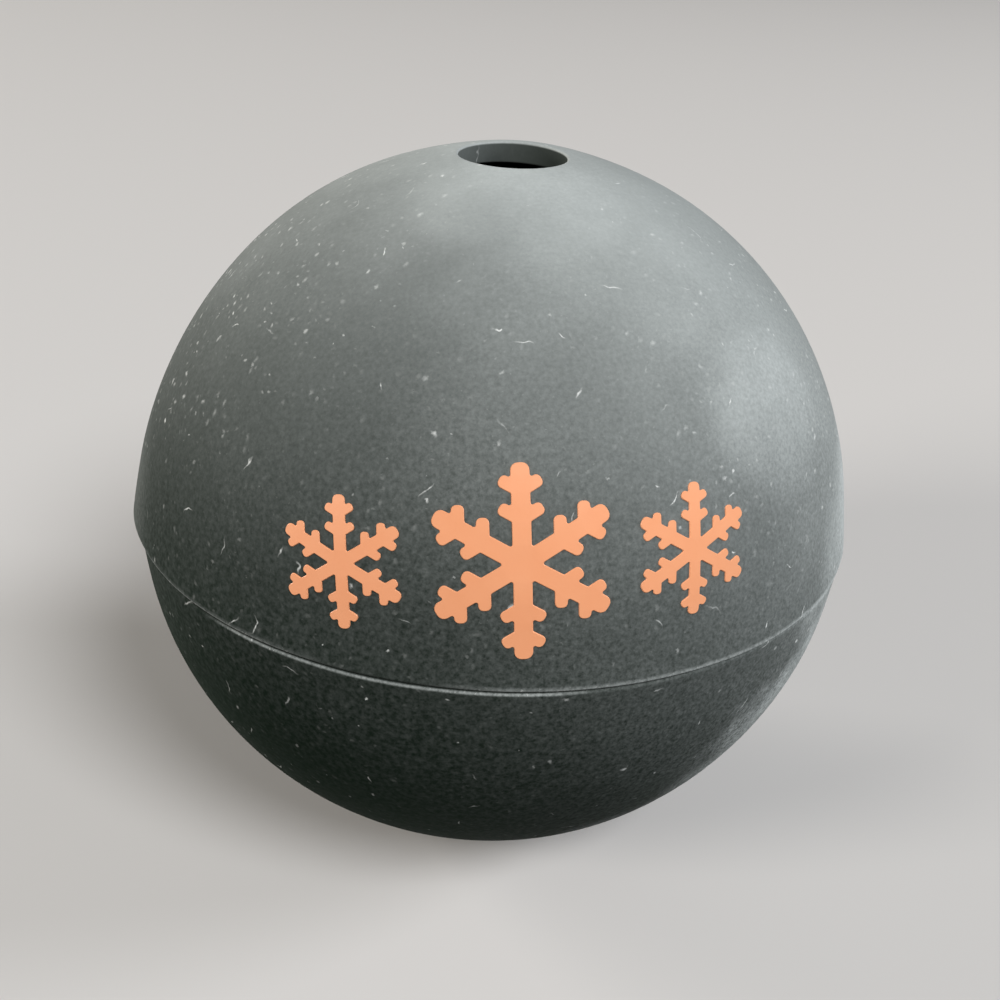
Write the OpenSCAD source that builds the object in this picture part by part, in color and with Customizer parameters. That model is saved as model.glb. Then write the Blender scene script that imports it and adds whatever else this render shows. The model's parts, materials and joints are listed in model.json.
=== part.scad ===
// Ice ball mold: two silicone half shells that close on a stepped rim, with a fill hole in the top.
// The origin is the middle of the foot's underside, and the ball's axis points up.

/* [Ball] */
// Diameter of the ice ball, which is the round space inside the closed mold
ball_d = 63.5; // [50:0.5:80]
// Thickness of the silicone wall
wall = 1.8; // [1.6:0.1:4]

/* [Fill hole] */
// Diameter of the hole in the top that the water goes in through
hole_d = 9.6; // [6:0.2:20]
// Rounding of the hole's upper and lower edge
hole_round = 0.2; // [0.05:0.05:0.5]

/* [Rim] */
// Height of the lower half's lip above the middle of the ball
lip_h = 4; // [2:0.5:8]
// Thickness of the lip at its root
lip_t = 0.85; // [0.6:0.05:1.1]
// Lean of the lip's outer face in degrees, so that the halves part freely
lip_lean = 2; // [0.5:0.5:5]
// Rounding of the lip's upper outer edge
lip_round = 0.3; // [0.1:0.05:0.5]
// Gap between the lip's outer face and its seat in the upper half
lip_gap = 0.15; // [0.05:0.05:0.3]
// Gap that shows between the two halves on the outside
seam_gap = 0.2; // [0.1:0.05:0.6]
// Rounding of the two outer edges beside that gap
seam_round = 0.25; // [0.1:0.05:0.4]
// Height above the middle of the ball where the upper half's skirt leaves the ball
upper_skirt_h = 5.5; // [2:0.5:10]
// Depth below the middle of the ball where the lower half's skirt leaves the ball
lower_skirt_h = 4; // [2:0.5:10]

/* [Foot] */
// Diameter of the flat that the mold stands on, before its edge is rounded
foot_d = 15; // [8:0.5:20]
// Rounding of the edge between that flat and the ball
foot_round = 3; // [0.5:0.5:6]

/* [Hidden] */
$fn = 180;
silicone = "#3a3d3f";
// How far a rounding or skirt reaches past the line or ball that it blends into, so that they meet cleanly
bite = 0.002;

ball_r = ball_d / 2;
outer_r = ball_r + wall;
hole_r = hole_d / 2;
half_gap = seam_gap / 2;
// Height of the middle of the ball above the flat foot
middle_z = sqrt(outer_r ^ 2 - (foot_d / 2) ^ 2);

// A sloping line of the profile is given by its distance from the ball's middle and its normal's angle.
skirt_p = outer_r - bite;
upper_skirt_a = asin(upper_skirt_h / outer_r);
lower_skirt_a = -asin(lower_skirt_h / outer_r);
lip_p = (ball_r + lip_t) * cos(lip_lean);

// Radius of a sloping line at one height
function line_r(p, a, z) = (p - z * sin(a)) / cos(a);

// What a rounding takes off a corner: the corner's patch, less the round that stays
module corner_waste(centre, on_one, corner, on_other, r) {
  difference() {
    polygon([centre, on_one, 2 * corner - centre, on_other]);
    translate(centre) circle(r + bite);
  }
}

// Waste where a sloping line meets the level at z, with the silicone on the given side of that level
module slope_edge_waste(p, a, z, side, r) {
  centre_z = z + side * r;
  centre = [line_r(p - r, a, centre_z), centre_z];
  corner = [line_r(p, a, z), z];
  corner_waste(centre, [centre[0], z], corner, centre + r * [cos(a), sin(a)], r);
}

// Waste where a ball meets an upright line, with the silicone on the given sides of the two
module ball_edge_waste(r_ball, ball_side, x, side, r) {
  centre_x = x + side * r;
  centre_r = r_ball + ball_side * r;
  centre = [centre_x, sqrt(centre_r ^ 2 - centre_x ^ 2)];
  corner = [x, sqrt(r_ball ^ 2 - x ^ 2)];
  corner_waste(centre, [x, centre[1]], corner, centre * r_ball / centre_r, r);
}

// Area between the axis and a sloping line, from one level to another
module slope_fill(p, a, z_low, z_high) {
  polygon([[0, z_low], [line_r(p, a, z_low), z_low], [line_r(p, a, z_high), z_high], [0, z_high]]);
}

// The ball's round outside, with the skirt that runs straight from it to the middle
module skirted_ball(skirt_a) {
  skirt_z = outer_r * sin(skirt_a);
  circle(outer_r);
  slope_fill(skirt_p, skirt_a, min(skirt_z, 0), max(skirt_z, 0));
}

module upper_profile() {
  difference() {
    intersection() {
      skirted_ball(upper_skirt_a);
      translate([hole_r, half_gap]) square(outer_r * 2);
    }
    circle(ball_r);
    translate([lip_gap, 0]) slope_fill(lip_p, lip_lean, 0, lip_h);
    slope_edge_waste(skirt_p, upper_skirt_a, half_gap, 1, seam_round);
    ball_edge_waste(outer_r, -1, hole_r, 1, hole_round);
    ball_edge_waste(ball_r, 1, hole_r, 1, hole_round);
  }
}

module lower_profile() {
  difference() {
    union() {
      intersection() {
        skirted_ball(lower_skirt_a);
        translate([0, -middle_z]) square([outer_r * 2, middle_z - half_gap]);
      }
      slope_fill(lip_p, lip_lean, -seam_gap, lip_h);
    }
    circle(ball_r);
    slope_edge_waste(skirt_p, lower_skirt_a, -half_gap, -1, seam_round);
    slope_edge_waste(lip_p, lip_lean, lip_h, -1, lip_round);
    rotate(-90) ball_edge_waste(outer_r, -1, middle_z, -1, foot_round);
  }
}

module upper_half() {
  color(silicone) translate([0, 0, middle_z]) rotate_extrude() upper_profile();
}

module lower_half() {
  color(silicone) translate([0, 0, middle_z]) rotate_extrude() lower_profile();
}

upper_half();
lower_half();
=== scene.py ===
import json
import math

import bmesh
import bpy
from mathutils import Matrix, Vector, geometry


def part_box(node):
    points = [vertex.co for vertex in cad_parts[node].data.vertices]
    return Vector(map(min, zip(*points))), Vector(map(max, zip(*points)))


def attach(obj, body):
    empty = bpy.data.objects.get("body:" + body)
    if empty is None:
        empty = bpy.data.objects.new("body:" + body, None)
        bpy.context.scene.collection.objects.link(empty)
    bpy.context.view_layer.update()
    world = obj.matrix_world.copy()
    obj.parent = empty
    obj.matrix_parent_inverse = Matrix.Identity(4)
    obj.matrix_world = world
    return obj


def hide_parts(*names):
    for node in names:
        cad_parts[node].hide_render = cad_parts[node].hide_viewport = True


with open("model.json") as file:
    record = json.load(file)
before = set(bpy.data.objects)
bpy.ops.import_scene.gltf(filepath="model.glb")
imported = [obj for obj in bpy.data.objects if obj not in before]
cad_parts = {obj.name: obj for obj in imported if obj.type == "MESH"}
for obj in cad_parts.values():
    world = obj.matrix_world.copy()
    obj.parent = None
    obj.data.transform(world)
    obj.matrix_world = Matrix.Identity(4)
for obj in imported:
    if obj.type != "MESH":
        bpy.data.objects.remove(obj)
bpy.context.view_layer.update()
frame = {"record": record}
mm = 0.001  # the frame is in metres


def toLinear(hexColour):
    channels = [int(hexColour[i:i + 2], 16) / 255 for i in (1, 3, 5)]
    return [c / 12.92 if c <= 0.04045 else ((c + 0.055) / 1.055) ** 2.4 for c in channels] + [1.0]


def addNode(tree, kind, settings=None, inputs=None):
    node = tree.nodes.new("ShaderNode" + kind)
    for key, value in (settings or {}).items():
        setattr(node, key, value)
    for key, value in (inputs or {}).items():
        if isinstance(value, bpy.types.NodeSocket):
            tree.links.new(value, node.inputs[key])
        else:
            node.inputs[key].default_value = value
    return node


# the ball that both halves share, from the frame and a few sizes of its wall
ball = {
    "wall": 1.8 * mm,
    "seamGap": 0.2 * mm,
    "footAcross": 15 * mm,
    "segments": 288,
    "arcStep": math.radians(2),
    "axisNear": 0.01 * mm,  # a ring this near to the axis becomes one point
    "rimRings": [0.35 * mm, 0.6 * mm],  # rings close to a rim
    "skirtRings": [0.35, 0.7],  # and others as shares of the skirt
    "rimRipples": [(7, 1), (12, 0), (19, 2)],  # ripples round a rim, start in radians
    "ovalFade": 3,  # powers of the latitude's cosine with which a rim's faults fade towards the poles
    "rippleFade": 60,
}
mounts = {mount["name"]: mount for mount in frame["record"]["mounts"]}
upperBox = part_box("upper_half")
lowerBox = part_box("lower_half")
holeRadius = mounts["fill_hole"]["dims"]["r_mm"] * mm
halfGap = ball["seamGap"] / 2
middleHeight = upperBox[0].z - halfGap
middle = Vector((0, 0, middleHeight))
outerRadius = math.hypot(middleHeight, ball["footAcross"] / 2)
cavityRadius = outerRadius - ball["wall"]
lipHeight = lowerBox[1].z - middleHeight


def direction(azimuth, latitude):
    # azimuth 0 is the front, -Y, and it grows towards +X
    level = math.cos(latitude)
    return Vector((math.sin(azimuth) * level, -math.cos(azimuth) * level, math.sin(latitude)))


def toward(azimuth, latitude):
    return direction(math.radians(azimuth), math.radians(latitude))


def slopeRadius(distance, angle, z):
    # radius at one height of a sloping line, from its distance to the middle and its normal's angle
    return (distance - z * math.sin(angle)) / math.cos(angle)


def skinDistance(half, latitude):
    # the skirt leaves the ball at skirtAngle and runs straight to the rim
    past = (half["skirtAngle"] - latitude) * math.copysign(1, half["skirtAngle"])
    return outerRadius / math.cos(past) if past > 0 else outerRadius


def outOfRound(half, azimuth, latitude):
    # soft silicone never sits quite round: its rim is shifted, oval and a little wavy,
    # and its sides swell and sink
    shift = half["shift"] * math.cos(azimuth - half["shiftTowards"])
    oval = half["oval"] * math.cos(2 * (azimuth - half["ovalAlong"]))
    ripples = sum(math.sin(count * azimuth + start) for count, start in ball["rimRipples"])
    wave = half["wave"] * ripples / len(ball["rimRipples"])
    aim = direction(azimuth, latitude)
    swell = 0
    for where, width, height in half["swells"]:
        swell += height * math.exp(-(math.degrees(aim.angle(where)) / width) ** 2)
    level = math.cos(latitude)
    return (shift + oval) * level ** ball["ovalFade"] + wave * level ** ball["rippleFade"] + swell


def clamped(value):
    return min(max(value, 0), 1)


def proudShare(half, azimuth):
    # where the two rims aren't flush, the pale line of dust and painted highlight goes on the proud rim's
    # edge, and the one that lies deeper gets none
    other = upper if half is lower else lower
    lead = [outerRadius / math.cos(h["skirtAngle"]) + outOfRound(h, azimuth, 0) for h in (half, other)]
    return clamped((lead[0] - lead[1] + seat["flush"]) / seat["proudBlend"])


def ballArc(radius, start, end):
    steps = max(2, round(abs(end - start) / ball["arcStep"]))
    angles = [start + (end - start) * k / steps for k in range(steps + 1)]
    return [(Vector((radius * math.cos(a), radius * math.sin(a))), 0) for a in angles]


def skirtPoints(half):
    # rings on the straight skirt, close together near the rim
    rise = outerRadius * math.sin(half["skirtAngle"])
    near = [math.copysign(z, rise) for z in ball["rimRings"]]
    heights = near + [share * rise for share in ball["skirtRings"]]
    return [(Vector((slopeRadius(outerRadius, half["skirtAngle"], z), z)), 0) for z in heights]


def rounded(corners, steps=6):
    # corners are (point, rounding radius), and the round ones become arcs
    outline = []
    for i, (here, radius) in enumerate(corners):
        if radius == 0:
            outline.append(here)
            continue
        before = (corners[i - 1][0] - here).normalized()
        after = (corners[(i + 1) % len(corners)][0] - here).normalized()
        halfTurn = before.angle(after) / 2
        centre = here + (before + after).normalized() * radius / math.sin(halfTurn)
        start = here + before * radius / math.tan(halfTurn) - centre
        end = here + after * radius / math.tan(halfTurn) - centre
        startAngle = math.atan2(start.y, start.x)
        turn = math.remainder(math.atan2(end.y, end.x) - startAngle, 2 * math.pi)
        for k in range(steps + 1):
            angle = startAngle + turn * k / steps
            outline.append(centre + radius * Vector((math.cos(angle), math.sin(angle))))
    return outline


def addPiece(name, bm, sharpAngle=math.pi):
    bmesh.ops.recalc_face_normals(bm, faces=bm.faces)
    mesh = bpy.data.meshes.new(name)
    bm.to_mesh(mesh)
    bm.free()
    mesh.shade_smooth()
    mesh.set_sharp_from_angle(angle=sharpAngle)
    piece = bpy.data.objects.new(name, mesh)
    bpy.context.scene.collection.objects.link(piece)
    print(name, "has", len(mesh.vertices), "points")
    return piece


def lathe(name, outline, half, rimEdge, closed):
    bm = bmesh.new()
    rimLayer = bm.verts.layers.float.new("rimDustAndHighlight")
    insideLayer = bm.verts.layers.float.new("inside")
    azimuths = [2 * math.pi * j / ball["segments"] for j in range(ball["segments"])]
    proud = [proudShare(half, azimuth) for azimuth in azimuths]
    rings = []
    for point in outline:
        distance = point.length
        latitude = math.atan2(point.y, point.x)
        skinShare = clamped((distance - half["seatReach"]) / (outerRadius - half["seatReach"]))
        fromRim = (point - rimEdge).length
        inHole = 0 < point.x < seat["holeReach"] * holeRadius and point.y > 0
        skinEnd = seat["holeSkin"] if inHole else 0
        bare = clamped((outerRadius - distance - skinEnd) / seat["skinDepth"])
        ringAzimuths = azimuths if point.x > ball["axisNear"] else azimuths[:1]
        ring = []
        for azimuth, share in zip(ringAzimuths, proud):
            reach = distance + skinShare * outOfRound(half, azimuth, latitude)
            vert = bm.verts.new(middle + direction(azimuth, latitude) * reach)
            # pale line along the rim: dust and painted highlight
            lineReach = half["paleLineReach"] * (1 + half["paleLineLean"] * math.sin(azimuth))
            vert[rimLayer] = share * clamped((lineReach - fromRim) / (lineReach - seat["paleLineFull"]))
            # painted light: the left of the hole's wall is lighter, as if lit from the right
            holePaintedLight = seat["holePaintedLight"] * (1 - math.sin(azimuth)) / 2 if inHole else 0
            vert[insideLayer] = bare * (1 - holePaintedLight)
            ring.append(vert)
        rings.append(ring)
    for low, high in zip(rings, rings[1:] + (rings[:1] if closed else [])):
        for j in range(ball["segments"]):
            k = j + 1
            corners = [low[j % len(low)], low[k % len(low)], high[k % len(high)], high[j % len(high)]]
            bm.faces.new(list(dict.fromkeys(corners)))
    return addPiece(name, bm)


# the stepped rim where the halves meet
seat = {
    "lipThickness": 0.85 * mm,
    "lean": math.radians(2),
    "gap": 0.15 * mm,
    "edge": 0.1 * mm,
    "ceilingRound": 0.2 * mm,
    "shownGap": 0.1 * mm,  # the soft rims close up more than the solids, which stay clear of each other
    "flush": 0.05 * mm,  # a rim that lies deeper by more than this gets no pale line
    "proudBlend": 0.04 * mm,
    "paleLineFull": 0.1 * mm,  # distance from the rim's edge
    "skinDepth": 0.07 * mm,  # what lies deeper below the outside is bare
    "holeReach": 1.04,  # the fill hole's wall and edge, as a share of its radius
    "holeSkin": 0.13 * mm,  # the film goes round that edge
    "holePaintedLight": 0.24,  # and the left of its wall is painted lighter, as painted light from the right
}
lipDistance = (cavityRadius + seat["lipThickness"]) * math.cos(seat["lean"])
lipCrest = math.asin(lipHeight / cavityRadius)  # latitude where the cavity meets the lip's top
shownHalfGap = seat["shownGap"] / 2

# upper half: skirt, ball, fill hole, and the seat inside its rim that closes over the lip
upper = {
    "skirtAngle": math.asin(5.5 * mm / outerRadius),
    "rimRound": 0.25 * mm,
    "holeRound": 0.2 * mm,
    "seatReach": 32.9 * mm,  # what lies nearer to the middle stays round
    "paleLineReach": 0.42 * mm,  # width of the pale line along the rim, dust and painted highlight
    "paleLineLean": 0.22,  # which is wider on the right, where the painted highlight is
    "shift": 0.22 * mm,
    "shiftTowards": math.radians(-110),
    "oval": 0.2 * mm,
    "ovalAlong": math.radians(70),
    "wave": 0.03 * mm,
    "swells": [  # where, width in degrees, height
        (toward(-78, 3), 14, 0.3 * mm),
        (toward(80, 4), 14, 0.22 * mm),
        (toward(-93, 33), 26, -0.55 * mm),
        (toward(168, 75), 10, 0.2 * mm),
    ],
    "dustAndLightDiscs": [  # where, inner and outer degrees of the soft edge, share of film added or wiped off: painted light along the outline where added, painted shade where wiped off
        (toward(47, 32), 0, 15, 0.18),
        (toward(0, 72), 2, 17, 0.1),
        (toward(126, 38), 19, 57, -0.32),
        (toward(75, 0), 0, 23, 0.39),
        (toward(-85, 0), 2, 21, 0.1),
    ],
    "filmWander": 0.1,  # how far the soft edges wander, as a share of their width
    "lint": (0.2, 1.0),  # share of specks on the cleanest side and on the side with most
    "sheen": 0.01,  # dust lightens it at a glancing angle
}


def makeUpperHalf():
    holeOut = math.acos(holeRadius / outerRadius)
    holeIn = math.acos(holeRadius / cavityRadius)
    clear = 3 * upper["holeRound"]  # keeps the ball's rings off the hole's rounded edges
    seatLow = seat["gap"] + slopeRadius(lipDistance, seat["lean"], shownHalfGap)
    seatHigh = seat["gap"] + slopeRadius(lipDistance, seat["lean"], lipHeight)
    rimEdge = Vector((slopeRadius(outerRadius, upper["skirtAngle"], shownHalfGap), shownHalfGap))
    corners = [
        (Vector((seatLow, shownHalfGap)), seat["edge"]),
        (rimEdge, upper["rimRound"]),
        *skirtPoints(upper),
        *ballArc(outerRadius, upper["skirtAngle"], holeOut - clear / outerRadius),
        (Vector((holeRadius, outerRadius * math.sin(holeOut))), upper["holeRound"]),
        (Vector((holeRadius, cavityRadius * math.sin(holeIn))), upper["holeRound"]),
        *ballArc(cavityRadius, holeIn - clear / cavityRadius, lipCrest + ball["arcStep"] / 2),
        (Vector((cavityRadius * math.cos(lipCrest), lipHeight)), seat["edge"]),
        (Vector((seatHigh, lipHeight)), seat["ceilingRound"]),
    ]
    return lathe("upper_half_shell", rounded(corners), upper, rimEdge, closed=True)


# lower half: flat foot, ball, shoulder, and the thin lip that stands inside the upper half's rim
lower = {
    "skirtAngle": -math.asin(4 * mm / outerRadius),
    "rimRound": 0.25 * mm,
    "lipRound": 0.3 * mm,
    "footRound": 3 * mm,
    "footSteps": 6,
    "seatReach": 32.75 * mm,
    "paleLineReach": 0.23 * mm,
    "paleLineLean": 0.0,
    "shift": 0.2 * mm,
    "shiftTowards": math.radians(-90),
    "oval": 0.0,
    "ovalAlong": 0.0,
    "wave": 0.03 * mm,
    "swells": [(toward(65, -7), 22, 0.3 * mm)],
    # painted light along the lower right outline, added to the film
    "dustAndLightDiscs": [
        (toward(107, -39), 45, 67, 0.48),
        (toward(70, 0), 9, 29, 0.23),
    ],
    "filmWander": 0.4,
    "lint": (0.12, 0.2),
    "sheen": 0.0,
}


def makeLowerHalf():
    rimEdge = Vector((slopeRadius(outerRadius, lower["skirtAngle"], -shownHalfGap), -shownHalfGap))
    lipRoot = slopeRadius(lipDistance, seat["lean"], -shownHalfGap)
    lipTop = slopeRadius(lipDistance, seat["lean"], lipHeight)
    footRound = lower["footRound"]
    roundAngle = math.asin((middleHeight - footRound) / (outerRadius - footRound))
    roundMiddle = Vector(((outerRadius - footRound) * math.cos(roundAngle), footRound - middleHeight))
    steps = lower["footSteps"]
    roundTurns = [-math.pi / 2 + (math.pi / 2 - roundAngle) * k / steps for k in range(steps)]
    corners = [
        (Vector((0, -middleHeight)), 0),
        *[(roundMiddle + footRound * Vector((math.cos(a), math.sin(a))), 0) for a in roundTurns],
        *ballArc(outerRadius, -roundAngle, lower["skirtAngle"]),
        *skirtPoints(lower)[::-1],
        (rimEdge, lower["rimRound"]),
        (Vector((lipRoot, -shownHalfGap)), seat["edge"]),
        (Vector((lipTop, lipHeight)), lower["lipRound"]),
        (Vector((cavityRadius * math.cos(lipCrest), lipHeight)), seat["edge"]),
        *ballArc(cavityRadius, lipCrest - ball["arcStep"] / 2, ball["arcStep"] - math.pi / 2),
        (Vector((0, -cavityRadius)), 0),
    ]
    return lathe("lower_half_shell", rounded(corners), lower, rimEdge, closed=False)


# printed front: three six-armed frost stars in a row, an ink film on the upper half
emblem = {
    "facing": toward(0, 18),
    "tilt": math.radians(3.4),
    "film": 0.1 * mm,  # a real film is about half as thick
    "sunk": 0.06 * mm,
    "edge": 0.05 * mm,
    "spacing": 0.5 * mm,
    "stars": [(0, 7.6 * mm), (-14 * mm, 5.4 * mm), (14 * mm, 5.4 * mm)],  # place along the row, arm length
    "stem": 0.095,  # half widths and lengths as shares of the arm
    "twig": 0.065,
    "branches": [(0.44, 0.25), (0.72, 0.24)],  # root along the arm, length
    "innerRound": 0.3,  # roundings as shares of the half widths
    "tipRound": 0.8,
}


def starOutline(arm):
    stem = emblem["stem"] * arm
    twig = emblem["twig"] * arm
    out = Vector((math.sin(math.pi / 3), math.cos(math.pi / 3)))
    side = Vector((out.y, -out.x)) * twig
    soft = emblem["innerRound"] * twig
    tipRound = emblem["tipRound"] * twig
    right = []
    for root, length in emblem["branches"]:
        base = Vector((0, root * arm))
        tip = base + out * length * arm
        right.append((base + side + out * (stem - side.x) / out.x, soft))
        right.append((tip + side, tipRound))
        right.append((tip - side, tipRound))
        right.append((base - side + out * (stem + side.x) / out.x, soft))
    right.append((Vector((stem, arm)), emblem["tipRound"] * stem))
    left = [(Vector((-point.x, point.y)), radius) for point, radius in right]
    valley = [(2 * stem * Vector((0.5, math.cos(math.pi / 6))), soft)]
    corners = []
    for k in range(6):
        turn = Matrix.Rotation(-k * math.pi / 3, 2)
        corners += [(turn @ point, radius) for point, radius in left + right[::-1] + valley]
    outline = rounded(corners, steps=4)
    spaced = []
    for here, after in zip(outline, outline[1:] + outline[:1]):
        parts = max(1, math.ceil((after - here).length / emblem["spacing"]))
        spaced += [here.lerp(after, k / parts) for k in range(parts)]
    return spaced


def insetOutline(outline, distance):
    inset = []
    for before, here, after in zip(outline[-1:] + outline, outline, outline[1:] + outline[:1]):
        along = (after - here).normalized() + (here - before).normalized()
        inset.append(here + Vector((along.y, -along.x)).normalized() * distance)
    return inset


def filled(outline):
    loop = list(range(len(outline)))
    insideOnly = 1
    weld = 1e-9
    found = geometry.delaunay_2d_cdt(outline, [], [loop], insideOnly, weld)
    source = [ids[0] for ids in found[3]]
    return [[source[i] for i in face] for face in found[2]]


def makePrint():
    facing = emblem["facing"]
    across = Vector((0, 0, 1)).cross(facing).normalized()
    upright = facing.cross(across)
    level = across * math.cos(emblem["tilt"]) + upright * math.sin(emblem["tilt"])
    rise = facing.cross(level)

    def onSkin(point, height):
        angle = point.length / outerRadius
        heading = (level * point.x + rise * point.y).normalized()
        aim = facing * math.cos(angle) + heading * math.sin(angle)
        latitude = math.asin(aim.z)
        azimuth = math.atan2(aim.x, -aim.y)
        reach = skinDistance(upper, latitude) + outOfRound(upper, azimuth, latitude)
        return middle + aim * (reach + height)

    bm = bmesh.new()
    for place, arm in emblem["stars"]:
        outer = [point + Vector((place, 0)) for point in starOutline(arm)]
        inner = insetOutline(outer, emblem["edge"])
        top = [bm.verts.new(onSkin(p, emblem["film"])) for p in inner]
        wall = [bm.verts.new(onSkin(p, emblem["film"] - emblem["edge"])) for p in outer]
        base = [bm.verts.new(onSkin(p, -emblem["sunk"])) for p in outer]
        for face in filled(inner):
            bm.faces.new([top[i] for i in face])
        for face in filled(outer):
            bm.faces.new([base[i] for i in face[::-1]])
        for low, high in ((base, wall), (wall, top)):
            for j in range(len(low)):
                bm.faces.new([low[j - 1], low[j], high[j], high[j - 1]])
    return addPiece("front_print", bm, sharpAngle=math.radians(30))


# lint and dust cling to silicone: fine specks, a few larger ones and short bent fibres
dust = {
    "colour": "#c6cdcb",
    "lintColour": "#e6eae7",
    "haze": 12 * mm,  # width of the film's clouds
    "mottle": 0.32 * mm,
    "grain": 0.2 * mm,  # a real moulded grain is finer than the image shows
    "fuzz": 0.5 * mm,
    "fuzzNoise": (0.38, 0.75),  # noise values at which fuzz starts and is thickest
    "fuzzFilm": (0.03, 0.15),  # it is thin on bare silicone and thicker where some film lies
    "fuzzShare": (0.025, 0.075),
    "fleckHeight": (-0.5, 0.9),  # the mottle weakens between these heights, the ball's own being -1 to 1
    "fleckShare": (0.95, 0.1),
    "lintSides": [toward(-80, 49), toward(60, 37), toward(155, -5)],  # where most specks lie
    "lintNear": (0.8, 0.97),  # cosines of the angle from there at which they start and are most
    "smoothNear": (0.45, 0.85),  # and at which the film between them grows smooth
    "smoothest": 0.5,  # share of mottle and fuzz that is left then
    "clump": 2.4 * mm,
    "clumpNoise": (0.48, 0.62),
    "clumpShare": (0.14, 1.2),  # of specks between the clumps and in them
    "driftNoise": (0.4, 0.6),
    "driftLeast": 0.35,  # powder between its drifts
    "ragged": 0.45 * mm,
    "stretch": 1.6,  # specks are longer than wide
    "smallest": 0.4,  # share of the largest speck's radius
    "powder": (0.75 * mm, 0.17 * mm, 0.3, 3),  # spacing, radius, strength, rarity of the strong ones
    "speck": (1.0 * mm, 0.46 * mm, 0.7, 2.4),
    "crumb": (5.0 * mm, 0.42 * mm, 1.1, 4),
    "seamLint": (0.55 * mm, 0.2 * mm, 1.0, 2),
    "fibreSpacing": 7 * mm,
    "fibreHalfLength": 1.1 * mm,
    "fibreHalfWidth": 0.1 * mm,
    "fibreStrength": 0.55,
    "fibreFilm": (0.35, 0.8),  # fibres are stronger where the film is pale
    "fibreOnFilm": 1.8,
    "fibreNoise": (0.35, 0.55),
    "fibreLeast": 0.3,  # in their faint stretches
    "fibreBend": 420,  # sideways metres for each square metre along
    "fibreKink": (0.9 * mm, 0.8 * mm),  # length of a kink, sideways reach
    "lineShare": (0.3, 1.9),  # pale line along the rims, on the cleanest and on the palest side
    "lineNoise": (0.35, 0.6),
    "lineLeast": 0.5,
}
midGrey = (0.5, 0.5, 0.5)  # mean colour of a noise or of random cells
noiseSpan = {"From Min": 0.3, "From Max": 0.7}  # where most of a noise's values lie


def flatOffset(tree, cells, place, outward):
    # how far a place on the skin lies from its cell's point, along and across a heading of the cell's own
    offset = addNode(tree, "VectorMath", {"operation": "SUBTRACT"}, {
        0: place, 1: cells.outputs["Position"]}).outputs[0]
    heading = addNode(tree, "VectorMath", {"operation": "SUBTRACT"}, {
        0: cells.outputs["Color"], 1: midGrey}).outputs[0]
    across = addNode(tree, "VectorMath", {"operation": "CROSS_PRODUCT"}, {0: outward, 1: heading})
    across = addNode(tree, "VectorMath", {"operation": "NORMALIZE"}, {0: across.outputs[0]}).outputs[0]
    along = addNode(tree, "VectorMath", {"operation": "CROSS_PRODUCT"}, {0: outward, 1: across}).outputs[0]
    x = addNode(tree, "VectorMath", {"operation": "DOT_PRODUCT"}, {0: offset, 1: along})
    y = addNode(tree, "VectorMath", {"operation": "DOT_PRODUCT"}, {0: offset, 1: across})
    return x.outputs["Value"], y.outputs["Value"]


def specks(tree, place, outward, spacing, radius, strength, rarity):
    # one oval speck for each cell, set flat on the skin
    cells = addNode(tree, "TexVoronoi", {}, {"Vector": place, "Scale": 1 / spacing})
    chance = addNode(tree, "SeparateColor", {}, {0: cells.outputs["Color"]})
    x, y = flatOffset(tree, cells, place, outward)
    y = addNode(tree, "Math", {"operation": "MULTIPLY"}, {0: y, 1: dust["stretch"]})
    flat = addNode(tree, "CombineXYZ", {}, {0: x, 1: y.outputs[0]})
    away = addNode(tree, "VectorMath", {"operation": "LENGTH"}, {0: flat.outputs[0]})
    size = addNode(tree, "MapRange", {}, {
        "Value": chance.outputs[0], "To Min": dust["smallest"] * radius, "To Max": radius})
    bright = addNode(tree, "Math", {"operation": "POWER"}, {0: chance.outputs[1], 1: rarity})
    bright = addNode(tree, "Math", {"operation": "MULTIPLY"}, {0: bright.outputs[0], 1: strength})
    return addNode(tree, "MapRange", {"interpolation_type": "SMOOTHSTEP"}, {
        "Value": away.outputs["Value"], "From Min": size.outputs[0], "From Max": 0.0,
        "To Max": bright.outputs[0]}).outputs[0]


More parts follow.
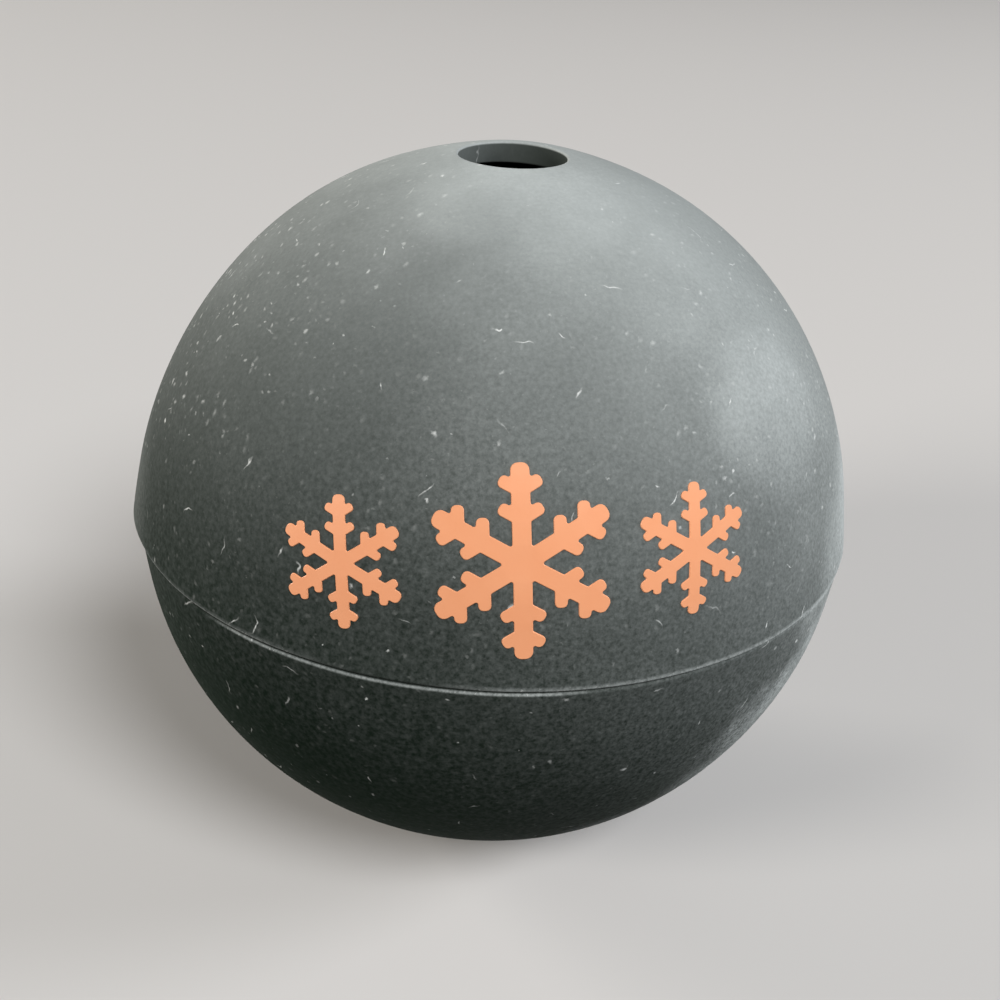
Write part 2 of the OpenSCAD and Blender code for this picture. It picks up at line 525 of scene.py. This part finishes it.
def fibres(tree, place, outward):
    kinkLength, kinkReach = dust["fibreKink"]
    kink = addNode(tree, "TexNoise", {}, {"Vector": place, "Scale": 1 / kinkLength, "Detail": 1.0})
    kink = addNode(tree, "VectorMath", {"operation": "SUBTRACT"}, {0: kink.outputs["Color"], 1: midGrey})
    bent = addNode(tree, "VectorMath", {"operation": "MULTIPLY_ADD"}, {
        0: kink.outputs[0], 1: [kinkReach] * 3, 2: place}).outputs[0]
    cells = addNode(tree, "TexVoronoi", {}, {"Vector": bent, "Scale": 1 / dust["fibreSpacing"]})
    chance = addNode(tree, "SeparateColor", {}, {0: cells.outputs["Color"]})
    x, y = flatOffset(tree, cells, bent, outward)
    bend = addNode(tree, "MapRange", {}, {
        "Value": chance.outputs[1], "To Min": -dust["fibreBend"], "To Max": dust["fibreBend"]})
    square = addNode(tree, "Math", {"operation": "MULTIPLY"}, {0: x, 1: x})
    curve = addNode(tree, "Math", {"operation": "MULTIPLY"}, {0: square.outputs[0], 1: bend.outputs[0]})
    off = addNode(tree, "Math", {"operation": "SUBTRACT"}, {0: y, 1: curve.outputs[0]})
    off = addNode(tree, "Math", {"operation": "ABSOLUTE"}, {0: off.outputs[0]})
    run = addNode(tree, "Math", {"operation": "ABSOLUTE"}, {0: x})
    width = addNode(tree, "MapRange", {"interpolation_type": "SMOOTHSTEP"}, {
        "Value": off.outputs[0], "From Min": dust["fibreHalfWidth"], "From Max": 0.0})
    reach = addNode(tree, "Math", {"operation": "MULTIPLY"}, {
        0: chance.outputs[0], 1: dust["fibreHalfLength"]})
    length = addNode(tree, "MapRange", {"interpolation_type": "SMOOTHSTEP"}, {
        "Value": run.outputs[0], "From Min": reach.outputs[0], "From Max": 0.0,
        "To Max": 2 * dust["fibreStrength"]})
    line = addNode(tree, "Math", {"operation": "MULTIPLY"}, {0: width.outputs[0], 1: length.outputs[0]})
    shown = addNode(tree, "Math", {"operation": "MULTIPLY"}, {0: line.outputs[0], 1: chance.outputs[2]})
    return shown.outputs[0]


# moulded silicone: near black and matte, greyed by a film of dust that lies thicker on one side, where it
# also holds painted light and a broad painted highlight from the upper right
silicone = {
    "colour": "#041509",
    "dustAndLightSide": toward(126.5, 51),  # the side where the film is thickest, with painted light and highlight in it
    "filmReach": -0.91,  # cosine of the angle from there at which the film ends
    "filmMost": 0.92,
    "bareFilm": 0.06,  # what lies on the inside
    "cloud": 0.14,  # how uneven the film is
    "ior": 1.41,
    "gloss": 0.05,  # the film takes away most of the bare silicone's gloss
    "roughness": 0.75,
    "roughSpread": 0.08,
    "sheenRoughness": 0.3,
    "bumpStrength": 0.2,
    "bumpDepth": 0.05 * mm,
    "bitHeight": 2.0,  # height of the loose bits, as a multiple of the grain's
}


def mouldedSilicone(name, half):
    material = bpy.data.materials.new(name)
    material.use_nodes = True
    tree = material.node_tree
    shader = tree.nodes["Principled BSDF"]
    place = addNode(tree, "TexCoord").outputs["Object"]
    fromMiddle = addNode(tree, "VectorMath", {"operation": "SUBTRACT"}, {0: place, 1: middle})
    outward = addNode(tree, "VectorMath", {"operation": "NORMALIZE"}, {0: fromMiddle.outputs[0]}).outputs[0]
    rimDustAndHighlight = addNode(tree, "Attribute", {"attribute_name": "rimDustAndHighlight"}).outputs["Fac"]
    inside = addNode(tree, "Attribute", {"attribute_name": "inside"}).outputs["Fac"]
    haze = addNode(tree, "TexNoise", {}, {
        "Vector": place, "Scale": 1 / dust["haze"], "Detail": 4.0, "Roughness": 0.6}).outputs[0]
    mottled = addNode(tree, "TexNoise", {}, {
        "Vector": place, "Scale": 1 / dust["mottle"], "Detail": 3.0, "Roughness": 0.65}).outputs
    mottle = mottled[0]
    grain = addNode(tree, "TexNoise", {}, {
        "Vector": place, "Scale": 1 / dust["grain"], "Detail": 2.0}).outputs[0]

    # film of dust with painted light in it: thickest on the lit side, with soft clouds and a fine mottle in
    # it, and hardly any inside
    lean = addNode(tree, "VectorMath", {"operation": "DOT_PRODUCT"}, {0: outward, 1: silicone["dustAndLightSide"]})
    filmWithLight = addNode(tree, "MapRange", {}, {
        "Value": lean.outputs["Value"], "From Min": silicone["filmReach"]}).outputs[0]
    film = addNode(tree, "Math", {"operation": "MULTIPLY"}, {0: filmWithLight, 1: filmWithLight})
    film = addNode(tree, "Math", {"operation": "MULTIPLY"}, {0: film.outputs[0], 1: silicone["filmMost"]})
    wander = addNode(tree, "MapRange", {}, {
        **noiseSpan, "Value": haze, "To Min": -half["filmWander"], "To Max": half["filmWander"]})
    # discs of painted light added to the film, and of painted shade that wipe it off
    for where, inner, outer, share in half["dustAndLightDiscs"]:
        edgeStart = math.cos(math.radians(outer))
        edgeEnd = math.cos(math.radians(inner))
        near = addNode(tree, "VectorMath", {"operation": "DOT_PRODUCT"}, {0: outward, 1: where})
        near = addNode(tree, "Math", {"operation": "MULTIPLY_ADD"}, {
            0: wander.outputs[0], 1: edgeEnd - edgeStart, 2: near.outputs["Value"]})
        near = addNode(tree, "MapRange", {"interpolation_type": "SMOOTHSTEP"}, {
            "Value": near.outputs[0], "From Min": edgeStart, "From Max": edgeEnd, "To Max": share})
        film = addNode(tree, "Math", {"operation": "ADD"}, {0: film.outputs[0], 1: near.outputs[0]})
    cloud = addNode(tree, "MapRange", {}, {
        **noiseSpan, "Value": haze, "To Min": 1 - silicone["cloud"], "To Max": 1 + silicone["cloud"]})
    upness = addNode(tree, "SeparateXYZ", {}, {0: outward}).outputs[2]
    strong = addNode(tree, "MapRange", {}, {
        "Value": upness, "From Min": dust["fleckHeight"][0], "From Max": dust["fleckHeight"][1],
        "To Min": dust["fleckShare"][0], "To Max": dust["fleckShare"][1]})
    towardLint = -1.0
    for side in dust["lintSides"]:
        near = addNode(tree, "VectorMath", {"operation": "DOT_PRODUCT"}, {0: outward, 1: side})
        towardLint = addNode(tree, "Math", {"operation": "MAXIMUM"}, {
            0: near.outputs["Value"], 1: towardLint}).outputs[0]
    smooth = addNode(tree, "MapRange", {}, {
        "Value": towardLint, "From Min": dust["smoothNear"][0], "From Max": dust["smoothNear"][1],
        "To Min": 1.0, "To Max": dust["smoothest"]})
    strong = addNode(tree, "Math", {"operation": "MULTIPLY"}, {0: strong.outputs[0], 1: smooth.outputs[0]})
    fleck = addNode(tree, "MapRange", {}, {
        **noiseSpan, "Value": mottle, "To Min": -1.0})
    fleck = addNode(tree, "Math", {"operation": "MULTIPLY_ADD"}, {
        0: fleck.outputs[0], 1: strong.outputs[0], 2: 1.0})
    tone = addNode(tree, "Math", {"operation": "MULTIPLY"}, {0: cloud.outputs[0], 1: fleck.outputs[0]})
    fuzz = addNode(tree, "TexNoise", {}, {
        "Vector": place, "Scale": 1 / dust["fuzz"], "Detail": 4.0, "Roughness": 0.6}).outputs[0]
    furred = addNode(tree, "MapRange", {}, {
        "Value": filmWithLight, "From Min": dust["fuzzFilm"][0], "From Max": dust["fuzzFilm"][1],
        "To Min": dust["fuzzShare"][0], "To Max": dust["fuzzShare"][1]})
    fuzz = addNode(tree, "MapRange", {}, {
        "Value": fuzz, "From Min": dust["fuzzNoise"][0], "From Max": dust["fuzzNoise"][1],
        "To Max": furred.outputs[0]})
    fuzz = addNode(tree, "Math", {"operation": "MULTIPLY"}, {0: fuzz.outputs[0], 1: smooth.outputs[0]})
    tone = addNode(tree, "Math", {"operation": "MULTIPLY_ADD"}, {
        0: tone.outputs[0], 1: film.outputs[0], 2: fuzz.outputs[0]})
    tone = addNode(tree, "MapRange", {}, {
        "Value": inside, "To Min": tone.outputs[0], "To Max": silicone["bareFilm"]})
    plain = addNode(tree, "Mix", {"data_type": "RGBA"}, {
        0: tone.outputs[0], 6: toLinear(silicone["colour"]), 7: toLinear(dust["colour"])})

    # loose bits on the outside: powder in drifts, specks, crumbs, fibres and lint caught in the seam
    shift = addNode(tree, "VectorMath", {"operation": "SUBTRACT"}, {0: mottled[1], 1: midGrey})
    ragged = addNode(tree, "VectorMath", {"operation": "MULTIPLY_ADD"}, {
        0: shift.outputs[0], 1: [dust["ragged"]] * 3, 2: place}).outputs[0]
    drift = addNode(tree, "MapRange", {}, {
        "Value": haze, "From Min": dust["driftNoise"][0], "From Max": dust["driftNoise"][1],
        "To Min": dust["driftLeast"]})
    drift = addNode(tree, "Math", {"operation": "MULTIPLY"}, {0: drift.outputs[0], 1: filmWithLight})
    linty = addNode(tree, "MapRange", {}, {
        "Value": towardLint, "From Min": dust["lintNear"][0], "From Max": dust["lintNear"][1],
        "To Min": half["lint"][0], "To Max": half["lint"][1]})
    clump = addNode(tree, "TexNoise", {}, {
        "Vector": place, "Scale": 1 / dust["clump"], "Detail": 2.0}).outputs[0]
    clump = addNode(tree, "MapRange", {}, {
        "Value": clump, "From Min": dust["clumpNoise"][0], "From Max": dust["clumpNoise"][1],
        "To Min": dust["clumpShare"][0], "To Max": dust["clumpShare"][1]})
    linty = addNode(tree, "Math", {"operation": "MULTIPLY"}, {0: linty.outputs[0], 1: clump.outputs[0]})
    onFilm = addNode(tree, "MapRange", {}, {
        "Value": filmWithLight, "From Min": dust["fibreFilm"][0], "From Max": dust["fibreFilm"][1],
        "To Min": 1.0, "To Max": dust["fibreOnFilm"]})
    broken = addNode(tree, "MapRange", {}, {
        "Value": mottle, "From Min": dust["fibreNoise"][0], "From Max": dust["fibreNoise"][1],
        "To Min": dust["fibreLeast"], "To Max": onFilm.outputs[0]})
    bits = specks(tree, ragged, outward, *dust["crumb"])
    for more, share in ((specks(tree, ragged, outward, *dust["powder"]), drift.outputs[0]),
                        (specks(tree, ragged, outward, *dust["speck"]), linty.outputs[0]),
                        (fibres(tree, place, outward), broken.outputs[0]),
                        (specks(tree, ragged, outward, *dust["seamLint"]), rimDustAndHighlight)):
        more = addNode(tree, "Math", {"operation": "MULTIPLY"}, {0: more, 1: share}).outputs[0]
        bits = addNode(tree, "Math", {"operation": "MAXIMUM"}, {0: bits, 1: more}).outputs[0]
    bits = addNode(tree, "MapRange", {}, {"Value": inside, "To Min": bits, "To Max": 0.0}).outputs[0]

    # pale line along a rim's edge, dust and painted highlight, stronger where the film and its painted light
    # are thickest
    line = addNode(tree, "MapRange", {}, {
        "Value": filmWithLight, "To Min": dust["lineShare"][0], "To Max": dust["lineShare"][1]})
    patchy = addNode(tree, "MapRange", {}, {
        "Value": mottle, "From Min": dust["lineNoise"][0], "From Max": dust["lineNoise"][1],
        "To Min": dust["lineLeast"]})
    line = addNode(tree, "Math", {"operation": "MULTIPLY"}, {0: line.outputs[0], 1: patchy.outputs[0]})
    line = addNode(tree, "Math", {"operation": "MULTIPLY"}, {0: line.outputs[0], 1: rimDustAndHighlight})
    colour = addNode(tree, "Mix", {"data_type": "RGBA"}, {
        0: line.outputs[0], 6: plain.outputs[2], 7: toLinear(dust["colour"])})
    colour = addNode(tree, "Mix", {"data_type": "RGBA"}, {
        0: bits, 6: colour.outputs[2], 7: toLinear(dust["lintColour"])})
    rough = addNode(tree, "MapRange", {}, {
        "Value": mottle, "To Min": silicone["roughness"] - silicone["roughSpread"],
        "To Max": silicone["roughness"] + silicone["roughSpread"]})
    height = addNode(tree, "Math", {"operation": "MULTIPLY_ADD"}, {
        0: bits, 1: silicone["bitHeight"], 2: grain})
    bump = addNode(tree, "Bump", {}, {
        "Height": height.outputs[0], "Strength": silicone["bumpStrength"], "Distance": silicone["bumpDepth"]})
    tree.links.new(colour.outputs[2], shader.inputs["Base Color"])
    tree.links.new(rough.outputs[0], shader.inputs["Roughness"])
    tree.links.new(bump.outputs[0], shader.inputs["Normal"])
    shader.inputs["IOR"].default_value = silicone["ior"]
    shader.inputs["Specular IOR Level"].default_value = silicone["gloss"]
    shader.inputs["Sheen Weight"].default_value = half["sheen"]
    shader.inputs["Sheen Roughness"].default_value = silicone["sheenRoughness"]
    return material


# screen-printed silicone ink: flat orange, satin, a little uneven where the screen left it
ink = {
    "colour": "#ffb283",
    "thinColour": "#fba877",
    "patch": 2.5 * mm,
    "ior": 1.45,
    "roughness": 0.42,
    "roughSpread": 0.06,
    "bumpStrength": 0.15,
    "bumpDepth": 0.03 * mm,
}


def printedInk():
    material = bpy.data.materials.new("screen-printed ink")
    material.use_nodes = True
    tree = material.node_tree
    shader = tree.nodes["Principled BSDF"]
    place = addNode(tree, "TexCoord").outputs["Object"]
    patch = addNode(tree, "TexNoise", {}, {
        "Vector": place, "Scale": 1 / ink["patch"], "Detail": 3.0}).outputs[0]
    film = addNode(tree, "TexNoise", {}, {
        "Vector": place, "Scale": 1 / dust["mottle"], "Detail": 2.0}).outputs[0]
    colour = addNode(tree, "Mix", {"data_type": "RGBA"}, {
        0: patch, 6: toLinear(ink["colour"]), 7: toLinear(ink["thinColour"])})
    rough = addNode(tree, "MapRange", {}, {
        "Value": film, "To Min": ink["roughness"] - ink["roughSpread"],
        "To Max": ink["roughness"] + ink["roughSpread"]})
    bump = addNode(tree, "Bump", {}, {
        "Height": film, "Strength": ink["bumpStrength"], "Distance": ink["bumpDepth"]})
    tree.links.new(colour.outputs[2], shader.inputs["Base Color"])
    tree.links.new(rough.outputs[0], shader.inputs["Roughness"])
    tree.links.new(bump.outputs[0], shader.inputs["Normal"])
    shader.inputs["IOR"].default_value = ink["ior"]
    return material


upperShell = makeUpperHalf()
lowerShell = makeLowerHalf()
frontPrint = makePrint()
upperShell.data.materials.append(mouldedSilicone("moulded silicone, upper half", upper))
lowerShell.data.materials.append(mouldedSilicone("moulded silicone, lower half", lower))
frontPrint.data.materials.append(printedInk())
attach(upperShell, "upper")
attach(lowerShell, "lower")
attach(frontPrint, "upper")
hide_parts("upper_half")
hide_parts("lower_half")
print("pieces ride on their bodies")


# plain pale floor that keeps the shadow
studio = {
    "floorColour": "#d2d1ce",
    "floorBounce": "#464645",  # what diffuse light sees of it, so that the ball's underside stays dark
    "floorHalf": 3.0,
    "floorDrop": 0.02 * mm,  # so that the foot and the floor don't share a plane
    "floorRoughness": 0.9,
    "floorGloss": 0.1,
    "backdrop": "#cbcbc9",
    "fill": 0.1,  # share of the backdrop's light that reaches the ball
}


def seenDirectly(tree):
    # 1 for what the camera, a reflection or a clear piece shows, 0 for diffuse light
    rays = addNode(tree, "LightPath").outputs
    seen = rays["Is Camera Ray"]
    for ray in ("Is Glossy Ray", "Is Transmission Ray"):
        seen = addNode(tree, "Math", {"operation": "MAXIMUM"}, {0: seen, 1: rays[ray]}).outputs[0]
    return seen


def makeFloor():
    bm = bmesh.new()
    bmesh.ops.create_grid(bm, x_segments=1, y_segments=1, size=studio["floorHalf"])
    bmesh.ops.translate(bm, vec=(0, 0, -studio["floorDrop"]), verts=bm.verts)
    floor = addPiece("floor", bm)
    material = bpy.data.materials.new("matt painted floor")
    material.use_nodes = True
    tree = material.node_tree
    shader = tree.nodes["Principled BSDF"]
    colour = addNode(tree, "Mix", {"data_type": "RGBA"}, {
        0: seenDirectly(tree), 6: toLinear(studio["floorBounce"]), 7: toLinear(studio["floorColour"])})
    tree.links.new(colour.outputs[2], shader.inputs["Base Color"])
    shader.inputs["Roughness"].default_value = studio["floorRoughness"]
    shader.inputs["Specular IOR Level"].default_value = studio["floorGloss"]
    floor.data.materials.append(material)


def makeWorld():
    world = bpy.data.worlds.new("studio")
    bpy.context.scene.world = world
    world.use_nodes = True
    tree = world.node_tree
    background = tree.nodes["Background"]
    background.inputs["Color"].default_value = toLinear(studio["backdrop"])
    strength = addNode(tree, "MapRange", {}, {
        "Value": seenDirectly(tree), "To Min": studio["fill"], "To Max": 1.0})
    tree.links.new(strength.outputs[0], background.inputs["Strength"])


# soft lamps: azimuth and elevation in degrees, distance, width, power in watts and colour
lamps = {
    "keySoftbox": (30, 45, 2.4, 1.0, 39, "#fcfcff"),
    "rightSoftbox": (90, 25, 2.4, 0.8, 26, "#fafaff"),
    "backSoftbox": (240, 10, 2.4, 0.8, 41, "#fff9f3"),
    "leftSoftbox": (300, 25, 2.4, 0.8, 27, "#fff9f3"),
}


def makeLamps():
    for name, (azimuth, elevation, distance, width, power, colour) in lamps.items():
        light = bpy.data.lights.new(name, "AREA")
        light.shape = "DISK"
        light.size = width
        light.energy = power
        light.color = toLinear(colour)[:3]
        lamp = bpy.data.objects.new(name, light)
        away = toward(azimuth, elevation)
        lamp.location = middle + away * distance
        lamp.rotation_euler = away.to_track_quat("Z", "Y").to_euler()
        bpy.context.scene.collection.objects.link(lamp)


# camera at the photo's place: the ball's axis leans a little to the right
shot = {
    "azimuth": math.radians(-4.5),
    "elevation": math.radians(27.1),
    "roll": math.radians(3.36),
    "distance": 129 * mm,
    "lens": 46.75,
    "clipStart": 10 * mm,
    "aimRight": 0.68 * mm,  # the picture's middle lies a little right of and below the ball's
    "aimUp": -0.83 * mm,
}


def makeCamera():
    back = direction(shot["azimuth"], shot["elevation"])
    levelRight = Vector((math.cos(shot["azimuth"]), math.sin(shot["azimuth"]), 0))
    levelUp = back.cross(levelRight)
    up = levelUp * math.cos(shot["roll"]) - levelRight * math.sin(shot["roll"])
    right = up.cross(back)
    place = middle + back * shot["distance"]
    target = middle + right * shot["aimRight"] + up * shot["aimUp"]
    back = (place - target).normalized()
    right = up.cross(back).normalized()
    up = back.cross(right)
    data = bpy.data.cameras.new("shot")
    data.lens = shot["lens"]
    data.clip_start = shot["clipStart"]
    camera = bpy.data.objects.new("shot", data)
    camera.matrix_world = Matrix((right, up, back)).transposed().to_4x4()
    camera.location = place
    bpy.context.scene.collection.objects.link(camera)
    bpy.context.scene.camera = camera


makeFloor()
makeWorld()
makeLamps()
makeCamera()
bpy.context.scene.view_settings.view_transform = "Standard"
print("studio and camera are set")
